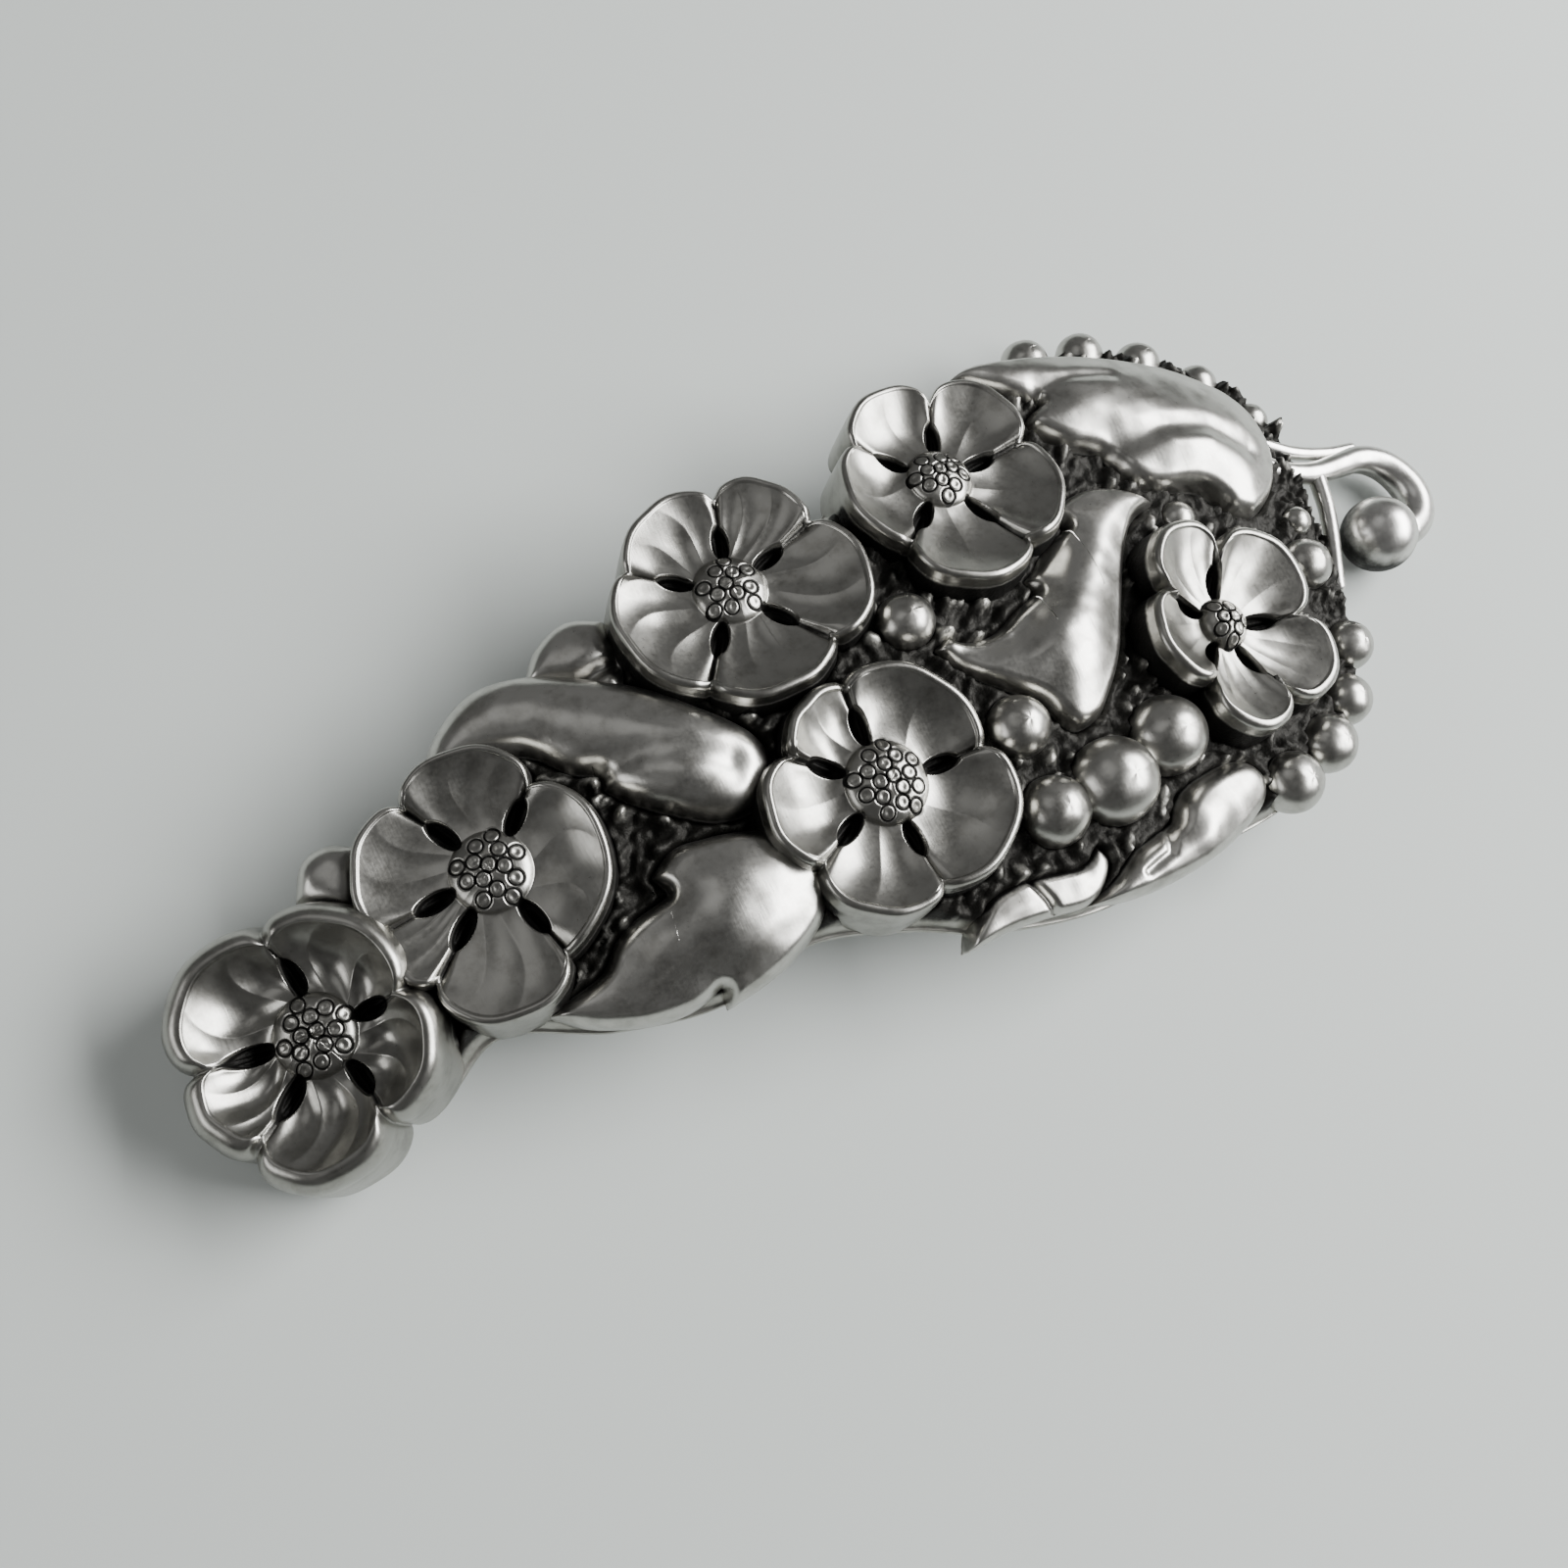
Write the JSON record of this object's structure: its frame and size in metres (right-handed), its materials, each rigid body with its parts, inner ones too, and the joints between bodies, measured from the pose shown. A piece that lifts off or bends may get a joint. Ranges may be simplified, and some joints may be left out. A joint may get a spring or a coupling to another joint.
{
  "type": "floral brooch",
  "caption": "Domed spray brooch of chased flowers, leaves and berries on a back plate, with a curled stem, a hinged pin and a roll-over safety catch.",
  "frame": {"origin": "under the middle of the brooch, on the surface that it rests on", "axes": "+X along the spray from the tip flower to the curled stem, +Y across it towards the crown flower, +Z out of the decorated face, away from the garment"},
  "size_m": [0.092, 0.0372, 0.0117],
  "materials": {
    "plate_silver": "oxidised, dark and matt",
    "flower_silver": "antiqued silver, burnished on the high places",
    "leaf_silver": "antiqued silver, burnished on the high places",
    "berry_silver": "antiqued silver, burnished on the high places",
    "stem_silver": "burnished silver",
    "fittings_silver": "satin silver",
    "pin_nickel_silver": "drawn and polished wire"
  },
  "bodies": {
    "spray": {"back_plate": "plate_silver", "berry_01": "berry_silver", "berry_02": "berry_silver", "berry_03": "berry_silver", "berry_04": "berry_silver", "berry_05": "berry_silver", "berry_06": "berry_silver", "berry_07": "berry_silver", "berry_08": "berry_silver", "berry_09": "berry_silver", "berry_10": "berry_silver", "berry_11": "berry_silver", "berry_12": "berry_silver", "berry_13": "berry_silver", "berry_14": "berry_silver", "berry_15": "berry_silver", "berry_16": "berry_silver", "berry_17": "berry_silver", "catch_housing": "fittings_silver", "centre_leaf": "leaf_silver", "crown_flower": "flower_silver", "crown_leaf": "leaf_silver", "curled_leaf": "leaf_silver", "curled_stem": "stem_silver", "edge_leaf": "leaf_silver", "fan_leaf": "leaf_silver", "hinge_bracket": "fittings_silver", "hinge_rivet": "pin_nickel_silver", "lower_flower": "flower_silver", "raised_flower": "flower_silver", "second_flower": "flower_silver", "side_bud": "leaf_silver", "stem_ball": "stem_silver", "stem_spur": "stem_silver", "tendril": "stem_silver", "thorn_leaf": "leaf_silver", "tip_bud": "leaf_silver", "tip_flower": "flower_silver", "tip_sepal": "leaf_silver", "upper_flower": "flower_silver"},
    "pin": {"pin_stem": "pin_nickel_silver"},
    "rotor": {"catch_rotor": "fittings_silver"}
  },
  "joints": [
    {"name": "pin_hinge", "type": "hinge", "parent": "spray", "child": "pin", "pos_m": [-0.02734, -0.0002, 0.00195], "axis": [0, 1, 0], "range_deg": [0, 70]},
    {"name": "catch_turn", "type": "hinge", "parent": "spray", "child": "rotor", "pos_m": [0.01966, -0.0002, 0.00195], "axis": [1, 0, 0], "range_deg": [0, 90]}
  ]
}
